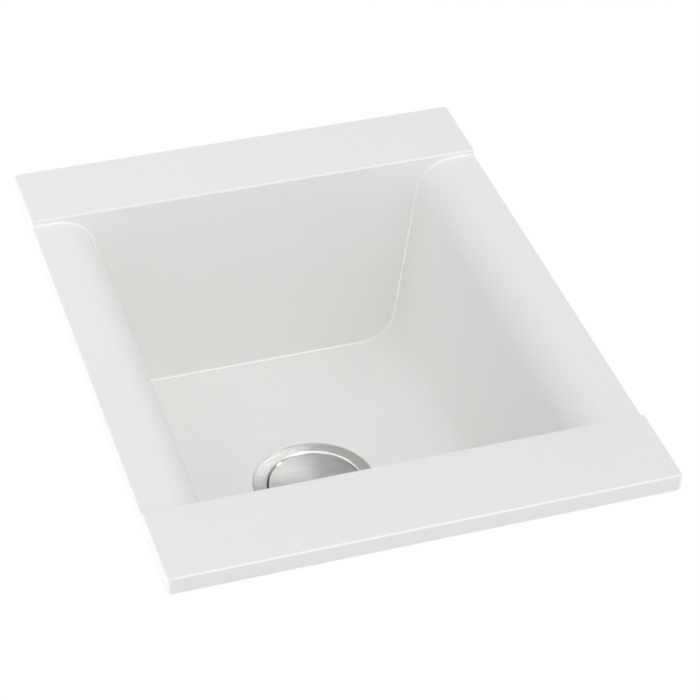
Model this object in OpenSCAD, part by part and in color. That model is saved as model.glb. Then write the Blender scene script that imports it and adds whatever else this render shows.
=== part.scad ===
// Drop-in kitchen sink moulded in granite composite, with its basket waste and worktop clamps.
// The origin is the middle of the worktop cut-out, on the worktop's top face.
// The rim lies in the XY plane, with +Y to the back and +Z up.

/* [Rim] */
// Width of the rim from side to side
rim_w = 420; // [400:5:500]
// Length of the rim from front to back
rim_l = 560; // [520:5:640]
// Thickness of the rim at the raised strips
rim_h = 15; // [13:0.5:18]
// Length, front to back, of each raised strip
strip_l = 79; // [72:1:95]
// Step from the raised strips down to the side lands
step_h = 5; // [3:0.5:6]
// Width of the flat land along each side
land_w = 22; // [19:1:32]
// Radius of the rim's corners in plan
rim_corner_r = 4; // [2:0.5:10]
// Rounding of the rim's top edges
edge_r = 2; // [1:0.25:3]
// Width of worktop that the rim covers on every side
rim_overlap = 12; // [10:0.5:15]

/* [Rim underside] */
// Depth of the coring under the raised strips
coring_h = 5; // [2:0.5:7]
// Space left between the coring and what stands beside it
coring_margin = 4; // [3:0.5:8]
// Width of the ribs that cross the coring
coring_rib_w = 8; // [6:0.5:12]
// Radius of the tap hole that can be knocked through the back strip
tap_hole_r = 17.5; // [15:0.5:18]
// Skin left over the tap hole
tap_skin_h = 4; // [3:0.5:6]
// Width of the ring of full thickness round the tap hole
tap_ring_w = 8; // [5:0.5:12]

/* [Rim seal] */
// Width of the foam strip under the rim
seal_w = 6; // [4:0.5:7]
// Height of the foam strip
seal_h = 3; // [2.5:0.25:5]
// Height of the strip that stands out below the rim
seal_proud_h = 1; // [0.5:0.25:1.5]
// Distance of the strip from the rim's outer face
seal_inset = 3; // [2:0.5:4]
// Side clearance of the strip in its groove
seal_gap = 0.2; // [0.1:0.05:0.4]

/* [Bowl] */
// Depth from the top of the strips to the floor at the end walls
bowl_depth = 200; // [160:5:230]
// Radius of the roll from each side land down into the bowl
roll_r = 34; // [28:1:42]
// Lean of the side walls from upright, in degrees
side_lean = 8; // [5:0.5:11]
// Radius of the sweep from each side wall to the floor
floor_sweep_r = 34; // [24:1:40]
// Lean of the end walls from upright, in degrees
end_lean = 1.5; // [0.5:0.25:4]
// Radius outside the bowl, along the foot of the end walls
end_heel_r = 14; // [8:1:24]
// Thickness of the bowl's walls
wall_t = 10; // [8:0.5:12]
// Thickness of the bowl's floor
floor_t = 10; // [8:0.5:14]
// Fall of the floor from the walls to the waste
floor_fall = 7; // [3:0.5:8]

/* [Waste seat] */
// Distance of the waste behind the middle of the bowl
waste_y = 20; // [-60:5:60]
// Radius of the hole through the floor for the waste
waste_hole_r = 45; // [44:0.5:47]
// Width of the floor round the hole that the flange and the waste body cover
seat_w = 11; // [10:0.5:14]
// Clearance round the waste flange in its recess
recess_gap = 1.5; // [1:0.25:2.5]
// Depth of the flange's face below the floor
flange_sink_h = 1; // [0.2:0.1:1.5]
// Thickness of the floor between the waste's two seals
seat_t = 8; // [6:0.5:12]
// Width of the floor's thick ring outside the waste body's flange
seat_pad_margin = 4; // [2:0.5:8]

/* [Clamps] */
// Number of clamps along each side
clamps_per_side = 3; // [2:1:3]
// Distance from clamp to clamp along a side
clamp_pitch = 150; // [120:5:170]
// Thickest worktop that the clamps grip
worktop_t = 38; // [30:1:45]
// Clearance between the bowl and the claw's heel as the claw swings out
clamp_clearance = 1; // [0.5:0.25:2]
// Width of the moulded pad above each clamp
pad_w = 26; // [24:0.5:27]
// Length of the pad along the rim
pad_l = 34; // [30:1:44]
// Height of the pad below the rim
pad_h = 16; // [14:0.5:18]
// Corner radius of the pad
pad_corner_r = 5; // [3:0.5:8]
// Radius of the plastic anchor sleeve
anchor_r = 4.5; // [4:0.25:5]
// Length of the anchor sleeve inside the pad
anchor_l = 20; // [16:0.5:22]
// Space in the pad past the end of the anchor
anchor_end_gap = 0.5; // [0.3:0.1:1]
// Radius of the anchor's collar
anchor_collar_r = 7; // [6:0.25:8]
// Thickness of the anchor's collar
anchor_collar_t = 1.2; // [0.8:0.1:2]
// Radius of the clamp screw's shank
screw_r = 2.4; // [2:0.1:3]
// Running clearance round the screw in its anchor
screw_gap = 0.05; // [0.02:0.01:0.1]
// Length of the screw's shank that stays in the anchor when the clamp is drawn up
screw_grip_l = 16; // [14:0.5:18]
// Radius of the screw's pan head
screw_head_r = 4.75; // [4:0.25:6]
// Height of the screw's head
screw_head_h = 3.4; // [2.5:0.1:4]
// Length of each arm of the cross recess in the head
screw_cross_l = 5.2; // [4:0.1:6]
// Width of the arms of the cross recess
screw_cross_w = 1.2; // [1:0.1:1.6]
// Depth of the cross recess
screw_cross_h = 2; // [1.2:0.1:2]
// Width of the steel claw
claw_w = 14; // [10:0.5:15]
// Thickness of the claw's steel strip
claw_t = 2.5; // [2:0.1:3]
// Radius of the claw's bends on their outer side
claw_bend_r = 4; // [3.5:0.25:5]
// Distance that the claw's tip stays inside the rim's edge
claw_tip_inset = 3; // [2:0.5:5]
// Height of the toothed tip above the claw's plate
claw_tooth_h = 6; // [5:0.5:9]
// Width of the notch between the tip's two teeth
claw_notch_w = 7; // [4:0.5:8]
// Depth of that notch
claw_notch_h = 3; // [2:0.25:4]
// Clearance round the screw in the claw
claw_hole_gap = 0.4; // [0.2:0.1:0.8]
// Clearance between the claw's heel and the pad
claw_heel_gap = 0.3; // [0.2:0.05:0.5]

/* [Waste body] */
// Thickness of the pressed steel of the flange and cup
flange_t = 1; // [0.8:0.1:1.4]
// Thickness of the seal under the flange
flange_seal_t = 1.3; // [1:0.1:2]
// Distance of that seal from the flange's edge and from the hole
flange_seal_inset = 1.5; // [1:0.25:3]
// Thickness of the seal under the sink
under_seal_t = 3; // [2:0.25:5]
// Gap between the cup and the hole through the floor
cup_gap = 1; // [0.6:0.1:1.5]
// Radius of the bend from the flange into the cup
mouth_r = 2.5; // [2:0.25:3.5]
// Step in from the cup's mouth to its lower part
shoulder_w = 5.5; // [4:0.25:6]
// Depth from the flange's face to the cup's shoulder
shoulder_depth = 12; // [11:0.5:14]
// Height of the shoulder's slope
shoulder_h = 5; // [4:0.5:7]
// Depth from the flange's face to the cup's bottom
cup_depth = 40; // [38:0.5:50]
// Radius round the foot of the cup
cup_corner_r = 5; // [3:0.25:7]
// Outer radius of the drain slots in the cup's bottom
cup_slot_r = 23; // [20:0.5:24]
// Inner radius of the drain slots
cup_slot_inner_r = 12; // [11:0.25:13]
// Width of the four arms between the drain slots
cup_arm_w = 6; // [4:0.5:9]
// Radius of the central bolt's shank
bolt_r = 5; // [4.5:0.1:5.5]
// Clearance round the bolt in the cup's bottom
bolt_gap = 0.3; // [0.1:0.05:0.5]
// Radius of the bolt's head
bolt_head_r = 8.5; // [8:0.25:9.5]
// Height of the bolt's head
bolt_head_h = 3.5; // [3:0.1:4]
// Length of the bolt's shank below the cup
bolt_l = 18; // [15:0.5:20]
// Width across the flats of the key socket in the bolt's head
bolt_key_w = 8; // [7.5:0.1:9]
// Depth of the key socket
bolt_key_h = 2.5; // [2:0.1:3]
// Wall of the brass insert in the waste body
insert_wall = 2.5; // [2:0.25:3]
// Wall of the hub round the insert
hub_wall = 3; // [2:0.25:4]
// Height of the hub
hub_h = 16; // [14:0.5:18]
// Thickness of the arms that carry the hub
hub_arm_t = 3.5; // [2.5:0.25:5]
// Distance of the arms' top below the hub's top
hub_arm_drop = 2; // [1:0.25:4]
// Gap between the cup and the waste body round it
body_gap = 1.5; // [1:0.25:2]
// Thickness of the waste body's top flange
body_flange_t = 4; // [3:0.25:5]
// Wall of the waste body
body_wall = 3; // [2.5:0.25:4]
// Height of the waste body's upright part below its flange
body_upright_h = 17; // [14:0.5:24]
// Height of the waste body's funnel
body_funnel_h = 38; // [34:1:50]
// Length of the threaded outlet
outlet_l = 20; // [16:0.5:30]
// Radius over the outlet's thread
outlet_r = 23.9; // [23:0.1:25]
// Radius of the outlet's bore
outlet_bore_r = 19; // [17:0.25:20]
// Number of gussets under the waste body's flange
gussets = 12; // [6:1:18]
// Thickness of each gusset
gusset_t = 2.5; // [2:0.25:4]

/* [Strainer basket] */
// Thickness of the basket's steel
basket_t = 0.8; // [0.6:0.1:1.2]
// Depth of the basket's rolled rim below the flange's face
basket_rim_depth = 6.5; // [6:0.25:8]
// Clearance between the basket's rolled rim and the cup's mouth
basket_rim_gap = 3; // [2:0.25:4]
// Radius of the roll of the rim
basket_bead_r = 1.3; // [1:0.1:1.6]
// Clearance between the basket's shoulder and the wall of the cup
basket_side_gap = 2.5; // [1.5:0.25:4]
// Clearance between the basket's shoulder and the cup's, one above the other
basket_seat_gap = 1; // [0.5:0.25:2]
// Taper of the basket's side from the shoulder to the bottom
basket_taper = 5; // [3:0.25:6]
// Number of slots round the basket
basket_slots = 24; // [12:2:30]
// Width of each slot
basket_slot_w = 2.6; // [2:0.1:4]
// Height of the slots above the basket's bottom
basket_slot_low = 2; // [1.5:0.25:2.5]
// Distance of the slots' top below the basket's shoulder
basket_slot_high = 2.8; // [2:0.2:4]
// Distance of the outer ring of holes inside the edge of the basket's bottom
basket_ring_inset = 5; // [4:0.5:6]
// Distance from ring to ring of those holes
basket_ring_step = 6; // [5:0.5:7]
// Number of holes in the inner ring, and of those that each ring further out adds
basket_ring_holes = 6; // [4:1:8]
// Radius of the holes in the basket's bottom
basket_hole_r = 1.7; // [1.2:0.1:2]
// Width of the cup's bottom between the drain slots and the stopper's skirt
stopper_lap = 1.5; // [1:0.1:2]
// Thickness of the rubber stopper's skirt
stopper_wall = 3.5; // [3:0.25:4.5]
// Thickness of the stopper's disc
stopper_t = 2.5; // [2:0.1:3]
// Taper of the stopper's skirt, inside and outside
stopper_taper = 1; // [0.5:0.1:1.5]
// Radius of the boss on the stopper that carries the basket
stopper_boss_r = 9; // [8:0.25:9.5]
// Height of the boss, which keeps the stopper's disc clear of the basket's holes
stopper_boss_h = 2; // [1:0.25:3]
// Radius of the post's stem where it passes through the basket
stem_r = 3.5; // [3.2:0.1:4]
// Radius of the pin that clicks into the bolt
pin_r = 3; // [2.6:0.1:3.1]
// Running clearance of the pin in the bolt
pin_gap = 0.08; // [0.04:0.01:0.1]
// Length of the pin inside the bolt
pin_l = 14; // [11:0.5:15]
// Radius of the nut that holds the stopper
post_nut_r = 7; // [6:0.25:8]
// Thickness of that nut
post_nut_t = 2.4; // [2:0.1:3]
// Clearance between the nut and the bolt's head
post_nut_gap = 0.3; // [0.2:0.05:0.5]
// Radius of the post's collar
post_collar_r = 8; // [7:0.25:9]
// Height of the post's collar
post_collar_h = 3; // [2:0.25:4]
// Radius of the post between collar and grip
post_r = 4; // [3.6:0.1:5]
// Radius of the post's grip
grip_r = 8; // [7:0.25:10]
// Height of the grip
grip_h = 4; // [3:0.25:6]
// Space between the grip and the cover above it
grip_gap = 3; // [2:0.25:5]

/* [Cover cap] */
// Clearance between the domed cover and the cup's mouth
cap_gap = 1.5; // [1:0.1:2.5]
// Rise of the dome at its middle
cap_rise = 3.5; // [2:0.25:6]
// Thickness of the cover's steel
cap_t = 1.2; // [0.8:0.1:1.5]
// Height of the cover's turned-down edge
cap_edge_h = 3; // [2.5:0.25:4]
// Height of the cover's edge above the flange's face
cap_stand_h = 0; // [-0.5:0.1:1]
// Clearance between the carrier ring and the cover's turned-down edge
carrier_edge_gap = 0.8; // [0.4:0.1:1.2]
// Width of the carrier ring
carrier_w = 3.5; // [3:0.25:5]
// Number of feet on the carrier ring
carrier_feet = 6; // [3:1:8]
// Width of each foot
carrier_foot_w = 7; // [5:0.5:10]
// Height of the gaps between the feet
carrier_gap_h = 2; // [1.5:0.1:2.6]
// Glue line between the carrier ring and the cover
carrier_glue_t = 0.1; // [0.05:0.05:0.2]
// Clearance between the feet and the basket's rim
carrier_seat_gap = 0.3; // [0.2:0.05:0.5]

/* [Hidden] */
$fn = 96;

// Lengths by which cuts pass a face, faces overlap for a sound join, and open space reaches up
over = 1;
lap = 0.02;
sky = 40;

// Heights, from the worktop's top face
rim_z = seal_proud_h;
strip_z = rim_z + rim_h;
land_z = strip_z - step_h;
floor_z = strip_z - bowl_depth;
fall_z = floor_z - floor_fall;

// Bowl in plan and in section
bowl_l = rim_l - 2 * strip_l;
roll_start = rim_w / 2 - land_w;
end_x = end_line(floor_z);
sweep_x = sweep_start(roll_start, land_z, floor_z, roll_r, side_lean, floor_sweep_r);

// Waste, from the recess in the floor downwards
flange_r = waste_hole_r + seat_w;
recess_r = flange_r + recess_gap;
flange_z = fall_z - flange_sink_h;
recess_z = flange_z - flange_t - flange_seal_t;
seat_low_z = recess_z - seat_t;
body_z = seat_low_z - under_seal_t;
cup_r = waste_hole_r - cup_gap - flange_t;
cup_low_r = cup_r - shoulder_w;
cup_z = flange_z - cup_depth;
bolt_top_z = cup_z + bolt_head_h;
hub_z = cup_z - flange_t;
insert_r = bolt_r + insert_wall;
upright_z = body_z - body_flange_t - body_upright_h;
funnel_z = upright_z - body_funnel_h;
outlet_z = funnel_z - outlet_l;
body_in_r = cup_r + flange_t + body_gap;
body_flange_r = waste_hole_r + seat_w;
seat_pad_r = body_flange_r + seat_pad_margin;

// Strainer basket, from the nut upwards
post_nut_z = bolt_top_z + post_nut_gap;
stopper_z = post_nut_z + post_nut_t;
basket_z = stopper_z + stopper_t + stopper_boss_h;
basket_rim_z = flange_z - basket_rim_depth;
basket_shoulder_z = flange_z - shoulder_depth - shoulder_h + basket_seat_gap;
basket_rim_r = cup_r - basket_rim_gap;
basket_shoulder_r = cup_low_r - basket_side_gap;
basket_bottom_r = basket_shoulder_r - basket_taper;
basket_ring_r = basket_bottom_r - basket_ring_inset;
stopper_skirt_r = cup_slot_r + stopper_lap;
stopper_r = stopper_skirt_r + stopper_wall;

// Cover
cap_r = cup_r - cap_gap;
carrier_r = cap_r - cap_t - carrier_edge_gap;
cap_edge_z = flange_z + cap_stand_h;
cap_top_z = cap_edge_z + cap_rise;
dome_r = (cap_r * cap_r + cap_rise * cap_rise) / (2 * cap_rise);
carrier_z = basket_rim_z + basket_bead_r + carrier_seat_gap;
grip_z = cap_edge_z - cap_t - grip_gap - grip_h;

// Clamps
clamp_count = 2 * clamps_per_side;
pad_z = rim_z - pad_h;
heel_z = pad_z - claw_heel_gap;
claw_heel = pad_w / 2;
heel_reach = sqrt(claw_heel * claw_heel + claw_w * claw_w / 4);
clamp_x = round_at(heel_z, roll_start, land_z - roll_r, roll_r - wall_t) + heel_reach + clamp_clearance;
claw_z = -worktop_t - claw_tooth_h;
claw_reach = rim_w / 2 - claw_tip_inset - clamp_x;
anchor_bore_r = screw_r + screw_gap;
anchor_hole_l = anchor_l + anchor_end_gap;

steel = [0.72, 0.72, 0.71];
zinc = [0.66, 0.67, 0.68];
stone = [0.92, 0.915, 0.905];
black_rubber = [0.1, 0.1, 0.1];
grey_plastic = [0.55, 0.56, 0.57];
white_plastic = [0.9, 0.9, 0.9];
brass = [0.76, 0.62, 0.33];

// Where a leaning wall leaves a roll of radius r that starts at x, z
function roll_end_x(x, r, lean) = x - r * cos(lean);
function roll_end_z(z, r, lean) = z - r * (1 - sin(lean));
// Distance of the wall from the middle at height z
function wall_at(z, x0, z0, lean) = x0 - (z0 - z) * tan(lean);
// Bowl side of a round of radius r whose middle is at x, z0, at height z
function round_at(z, x, z0, r) = x - sqrt(r * r - (z - z0) * (z - z0));
// Where the sweep of radius s reaches the floor
function sweep_start(x, top, low, r, lean, s) =
    wall_at(low + s, roll_end_x(x, r, lean), roll_end_z(top, r, lean), lean) - s / cos(lean);
// Inner face of the end walls at height z
function end_line(z) = bowl_l / 2 - (strip_z - z) * tan(end_lean);
// Middle of clamp i, counted from the front of the right side
function clamp_side(i) = i < clamps_per_side ? 1 : -1;
function clamp_y(i) = (i % clamps_per_side - (clamps_per_side - 1) / 2) * clamp_pitch;
// Points along an arc
function arc(centre, r, from, to, steps = 8) = [
    for (i = [0:steps])
        let (angle = from + (to - from) * i / steps)
            centre + r * [cos(angle), sin(angle)]
];
// The half of an outline to the right of the middle, followed by its mirror image
function both_sides(half) = concat(half, [for (i = [len(half) - 1:-1:0]) [-half[i][0], half[i][1]]]);

// Solid of a section drawn in X and Z, carried along Y
module along_y(length) {
    rotate([90, 0, 0])
        linear_extrude(height = length, center = true)
            children();
}

// Solid of a section drawn in Y and Z, carried along X
module along_x(length) {
    rotate([90, 0, 90])
        linear_extrude(height = length, center = true)
            children();
}

module rounded_square(w, l, r) {
    square([w - 2 * r, l], center = true);
    square([w, l - 2 * r], center = true);
    for (x = [-1, 1], y = [-1, 1])
        translate([x * (w / 2 - r), y * (l / 2 - r)])
            circle(r);
}

// Quarter of a ring, for a bend in sheet, turned to the quadrant that starts at the angle
module bend(r, t, angle) {
    rotate(angle)
        intersection() {
            difference() {
                circle(r);
                circle(r - t);
            }
            translate([-lap, -lap])
                square(r + lap);
        }
}

// Section of the space in a basin: a roll at the top, a leaning wall and a sweep to the floor.
// A roll or sweep of radius 0 is a plain corner.
module basin_section(x, top, low, r, lean, s) {
    foot_x = sweep_start(x, top, low, r, lean, s);
    foot = [
        [foot_x, low],
        [foot_x, low + s],
        [foot_x + s * cos(lean), low + s - s * sin(lean)]
    ];
    brow = [
        [roll_end_x(x, r, lean), roll_end_z(top, r, lean)],
        [x, top - r],
        [x, top]
    ];
    difference() {
        union() {
            polygon(both_sides(concat(s > 0 ? foot : [foot[0]], r > 0 ? brow : [brow[2]])));
            if (s > 0)
                for (side = [-1, 1])
                    translate([side * foot_x, low + s])
                        circle(s);
        }
        if (r > 0)
            for (side = [-1, 1])
                translate([side * x, top - r])
                    circle(r);
    }
}

// Rounds the top edge of a slab whose outer face is at x
module edge_air(x, top, r) {
    for (side = [0, 1])
        mirror([side, 0])
            difference() {
                translate([x - r, top - r])
                    square([r + over, r + over]);
                translate([x - r, top - r])
                    circle(r);
            }
}

module air_above(half_w, z) {
    translate([-half_w, z])
        square([2 * half_w, sky]);
}

// Everything that is open above the lands and the bowl's side walls
module side_section() {
    air_above(rim_w / 2 + over, land_z);
    edge_air(rim_w / 2, land_z, edge_r);
    basin_section(roll_start, land_z, floor_z, roll_r, side_lean, floor_sweep_r);
}

// Everything that is open between the two raised strips
module end_section() {
    lip = end_line(strip_z - edge_r) + edge_r / cos(end_lean);
    air_above(lip, strip_z);
    basin_section(lip, strip_z, floor_z - sky, edge_r, end_lean, 0);
}

module bowl_air() {
    intersection() {
        along_y(rim_l)
            side_section();
        along_x(rim_w + 4 * over)
            end_section();
    }
}

// Solid above four shallow planes that fall from level z towards the flange's recess
module falling_floor(z, inset) {
    side_x = sweep_x - inset;
    end_y = end_x - inset;
    intersection() {
        along_y(rim_l)
            polygon([
                [-side_x, z + over], [-side_x, z], [-recess_r, z - floor_fall],
                [recess_r, z - floor_fall], [side_x, z], [side_x, z + over]
            ]);
        along_x(rim_w)
            polygon([
                [-end_y, z + over], [-end_y, z], [waste_y - recess_r, z - floor_fall],
                [waste_y + recess_r, z - floor_fall], [end_y, z], [end_y, z + over]
            ]);
    }
}

// Underside of the bowl along Y and Z, with a rounded heel under each end wall
module end_outside_section() {
    end_out = end_line(strip_z) + wall_t / cos(end_lean);
    low = floor_z - floor_t;
    heel = [sweep_start(end_out, strip_z, low, 0, end_lean, end_heel_r), low + end_heel_r];
    polygon(both_sides(concat(arc(heel, end_heel_r, -90, -end_lean), [[end_out, strip_z]])));
}

// Underside of the bowl, one wall's thickness outside its inner faces
module bowl_outside() {
    intersection() {
        along_y(rim_l) {
            translate([-roll_start, land_z - wall_t - lap])
                square([2 * roll_start, over]);
            basin_section(roll_start, land_z - wall_t, floor_z - floor_t,
                roll_r - wall_t, side_lean, floor_sweep_r + wall_t);
        }
        along_x(rim_w)
            end_outside_section();
    }
}

module rim_slab() {
    intersection() {
        translate([0, 0, rim_z])
            linear_extrude(height = rim_h)
                rounded_square(rim_w, rim_l, rim_corner_r);
        along_x(rim_w + 2 * over)
            difference() {
                translate([-rim_l / 2, rim_z])
                    square([rim_l, rim_h]);
                edge_air(rim_l / 2, strip_z, edge_r);
            }
        along_y(rim_l + 2 * over)
            difference() {
                translate([-rim_w / 2, rim_z])
                    square([rim_w, rim_h]);
                edge_air(rim_w / 2, strip_z, edge_r);
            }
    }
}

// Coring that leaves the strips as thick as the lands, with a rib on each side of the tap hole
module strip_coring() {
    inner = bowl_l / 2 + wall_t + coring_margin;
    outer = rim_l / 2 - rim_overlap - coring_margin;
    half_w = rim_w / 2 - rim_overlap - coring_margin;
    tap_half = tap_hole_r + tap_ring_w;
    bay_w = (half_w - tap_half - coring_rib_w) / 2;
    for (end = [-1, 1], side = [-1, 1], bay = [0, 1])
        translate([
            side * (tap_half + bay_w / 2 + bay * (bay_w + coring_rib_w)),
            end * (inner + outer) / 2,
            rim_z - over
        ])
            linear_extrude(height = coring_h + over)
                rounded_square(bay_w, outer - inner, rim_corner_r);
}

module tap_knockout() {
    translate([0, rim_l / 2 - strip_l / 2, rim_z - over])
        cylinder(h = rim_h - tap_skin_h + over, r = tap_hole_r);
}

module seal_ring(w, z, h) {
    mid = seal_inset + seal_w / 2;
    translate([0, 0, z])
        linear_extrude(height = h)
            difference() {
                rounded_square(rim_w - 2 * mid + w, rim_l - 2 * mid + w, rim_corner_r + w);
                rounded_square(rim_w - 2 * mid - w, rim_l - 2 * mid - w, rim_corner_r);
            }
}

module at_clamp(i) {
    translate([clamp_side(i) * clamp_x, clamp_y(i), 0])
        children();
}

module clamp_pad(i) {
    at_clamp(i)
        translate([0, 0, pad_z])
            linear_extrude(height = pad_h + over)
                rounded_square(pad_w, pad_l, pad_corner_r);
}

module anchor_hole(i) {
    at_clamp(i)
        translate([0, 0, pad_z - over])
            cylinder(h = anchor_hole_l + over, r = anchor_r);
}

module at_waste() {
    translate([0, waste_y, 0])
        children();
}

module sink_body() {
    color(stone)
        difference() {
            union() {
                difference() {
                    rim_slab();
                    strip_coring();
                }
                bowl_outside();
                falling_floor(floor_z - floor_t, over);
                for (i = [0:clamp_count - 1])
                    clamp_pad(i);
                at_waste()
                    translate([0, 0, seat_low_z])
                        cylinder(h = seat_t, r = seat_pad_r);
            }
            bowl_air();
            falling_floor(floor_z, 0);
            at_waste() {
                translate([0, 0, recess_z])
                    cylinder(h = sky, r = recess_r);
                translate([0, 0, seat_low_z - over])
                    cylinder(h = sky, r = waste_hole_r);
            }
            seal_ring(seal_w + 2 * seal_gap, rim_z - over, seal_h - seal_proud_h + over);
            for (i = [0:clamp_count - 1])
                anchor_hole(i);
            tap_knockout();
        }
}

module rim_seal() {
    color(black_rubber)
        seal_ring(seal_w, 0, seal_h);
}

module clamp_anchors() {
    color(white_plastic)
        for (i = [0:clamp_count - 1])
            at_clamp(i)
                difference() {
                    union() {
                        translate([0, 0, pad_z])
                            cylinder(h = anchor_l, r = anchor_r);
                        translate([0, 0, pad_z - anchor_collar_t])
                            cylinder(h = anchor_collar_t, r = anchor_collar_r);
                    }
                    translate([0, 0, pad_z - anchor_collar_t - over])
                        cylinder(h = anchor_l + anchor_collar_t, r = anchor_bore_r);
                }
}

// Pan-headed screw that carries the claw and draws it up
module clamp_screw(i) {
    top = pad_z + screw_grip_l;
    low = claw_z - claw_t;
    color(zinc)
        at_clamp(i)
            difference() {
                union() {
                    translate([0, 0, low])
                        cylinder(h = top - low, r = screw_r);
                    translate([0, 0, low - screw_head_h])
                        rotate_extrude()
                            screw_head_section();
                }
                screw_cross(low);
            }
}

module screw_head_section() {
    round_r = screw_head_h / 2;
    translate([0, round_r])
        square([screw_head_r, screw_head_h - round_r]);
    square([screw_head_r - round_r, screw_head_h]);
    translate([screw_head_r - round_r, round_r])
        circle(round_r);
}

module screw_cross(low) {
    for (turn = [0, 90])
        rotate(turn)
            translate([-screw_cross_l / 2, -screw_cross_w / 2, low - screw_head_h - over])
                cube([screw_cross_l, screw_cross_w, screw_cross_h + over]);
}

// Section of the claw along its length: heel, plate and toothed tip
module claw_section() {
    inner = claw_bend_r - claw_t;
    translate([claw_bend_r - claw_heel, claw_z - claw_t])
        square([claw_reach + claw_heel - 2 * claw_bend_r, claw_t]);
    translate([claw_bend_r - claw_heel, claw_z + inner])
        bend(claw_bend_r, claw_t, 180);
    translate([-claw_heel, claw_z + inner])
        square([claw_t, heel_z - claw_z - inner]);
    translate([claw_reach - claw_bend_r, claw_z + inner])
        bend(claw_bend_r, claw_t, 270);
    translate([claw_reach - claw_t, claw_z + inner])
        square([claw_t, claw_tooth_h - inner]);
}

module clamp_claw(i) {
    color(zinc)
        at_clamp(i)
            rotate(90)
                difference() {
                    along_y(claw_w)
                        claw_section();
                    translate([0, 0, claw_z - claw_t - over])
                        cylinder(h = claw_t + 2 * over, r = screw_r + claw_hole_gap);
                    translate([claw_reach - claw_t / 2, 0, 0])
                        along_x(2 * claw_t)
                            polygon([
                                [-claw_notch_w / 2, -worktop_t],
                                [0, -worktop_t - claw_notch_h],
                                [claw_notch_w / 2, -worktop_t],
                                [0, -worktop_t + over]
                            ]);
                }
}

// Section of the pressed flange and cup, from the flange's edge inwards and back underneath
module cup_section() {
    mouth = [cup_r + mouth_r, flange_z - mouth_r];
    shoulder_z = flange_z - shoulder_depth;
    low_z = shoulder_z - shoulder_h;
    corner = [cup_low_r + flange_t - cup_corner_r, cup_z - flange_t + cup_corner_r];
    edge_round = flange_t / 2;
    polygon(concat(
        arc([flange_r - edge_round, flange_z - edge_round], edge_round, -90, 90),
        arc(mouth, mouth_r, 90, 180),
        [[cup_r, shoulder_z], [cup_low_r, low_z]],
        arc(corner, cup_corner_r - flange_t, 0, -90),
        [[0, cup_z], [0, cup_z - flange_t]],
        arc(corner, cup_corner_r, -90, 0),
        [[cup_low_r + flange_t, low_z], [cup_r + flange_t, shoulder_z]],
        arc(mouth, mouth_r - flange_t, 180, 90)
    ));
}

module waste_flange() {
    color(steel)
        at_waste()
            difference() {
                rotate_extrude()
                    cup_section();
                translate([0, 0, cup_z - flange_t - over])
                    linear_extrude(height = flange_t + 2 * over) {
                        circle(bolt_r + bolt_gap);
                        difference() {
                            circle(cup_slot_r);
                            circle(cup_slot_inner_r);
                            square([2 * flange_r, cup_arm_w], center = true);
                            square([cup_arm_w, 2 * flange_r], center = true);
                        }
                    }
            }
}

module flat_ring(z, h, outer, inner) {
    translate([0, 0, z])
        difference() {
            cylinder(h = h, r = outer);
            translate([0, 0, -over])
                cylinder(h = h + 2 * over, r = inner);
        }
}

module flange_seal() {
    color(black_rubber)
        at_waste()
            flat_ring(recess_z, flange_seal_t, flange_r - flange_seal_inset,
                waste_hole_r + flange_seal_inset);
}

module under_seal() {
    color(black_rubber)
        at_waste()
            flat_ring(body_z, under_seal_t, body_flange_r, body_in_r);
}

// Outer and inner outlines of the waste body
module body_outer_section() {
    translate([0, body_z - body_flange_t])
        square([body_flange_r, body_flange_t]);
    polygon([
        [0, body_z - over],
        [body_in_r + body_wall, body_z - over],
        [body_in_r + body_wall, upright_z],
        [outlet_bore_r + body_wall, funnel_z],
        [0, funnel_z]
    ]);
    translate([0, outlet_z])
        square([outlet_r, outlet_l]);
}

module body_inner_section() {
    polygon([
        [0, body_z + over],
        [body_in_r, body_z + over],
        [body_in_r, upright_z],
        [outlet_bore_r, funnel_z],
        [outlet_bore_r, outlet_z - over],
        [0, outlet_z - over]
    ]);
}

module body_gusset() {
    depth = body_flange_r - body_in_r - body_wall;
    translate([body_in_r + body_wall / 2, 0, body_z - body_flange_t])
        rotate([90, 0, 0])
            linear_extrude(height = gusset_t, center = true)
                polygon([[0, over], [depth, over], [depth, 0], [body_wall / 2, -depth], [0, -depth]]);
}

module waste_body() {
    hub_low = hub_z - hub_h;
    color(grey_plastic)
        at_waste()
            difference() {
                union() {
                    difference() {
                        rotate_extrude()
                            body_outer_section();
                        rotate_extrude()
                            body_inner_section();
                    }
                    for (i = [0:gussets - 1])
                        rotate(i * 360 / gussets)
                            body_gusset();
                    intersection() {
                        rotate_extrude()
                            body_outer_section();
                        union() {
                            for (turn = [0, 90])
                                rotate(turn)
                                    translate([-body_in_r, -hub_arm_t / 2, hub_low])
                                        cube([2 * body_in_r, hub_arm_t, hub_h - hub_arm_drop]);
                        }
                    }
                    translate([0, 0, hub_low])
                        cylinder(h = hub_h, r = insert_r + hub_wall);
                }
                translate([0, 0, hub_low - over])
                    cylinder(h = hub_h + 2 * over, r = insert_r);
            }
}

module waste_insert() {
    color(brass)
        at_waste()
            flat_ring(hub_z - hub_h, hub_h, insert_r, bolt_r);
}

module waste_bolt() {
    key_r = bolt_key_w / 2 / cos(30);
    bore_low = bolt_top_z - bolt_key_h - pin_l;
    color(brass)
        at_waste()
            difference() {
                union() {
                    translate([0, 0, cup_z])
                        cylinder(h = bolt_head_h, r = bolt_head_r);
                    translate([0, 0, hub_z - bolt_l])
                        cylinder(h = bolt_l + flange_t + over, r = bolt_r);
                }
                translate([0, 0, bore_low])
                    cylinder(h = pin_l + bolt_head_h + over, r = pin_r + pin_gap);
                translate([0, 0, bolt_top_z - bolt_key_h])
                    cylinder(h = bolt_key_h + over, r = key_r, $fn = 6);
            }
}

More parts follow.
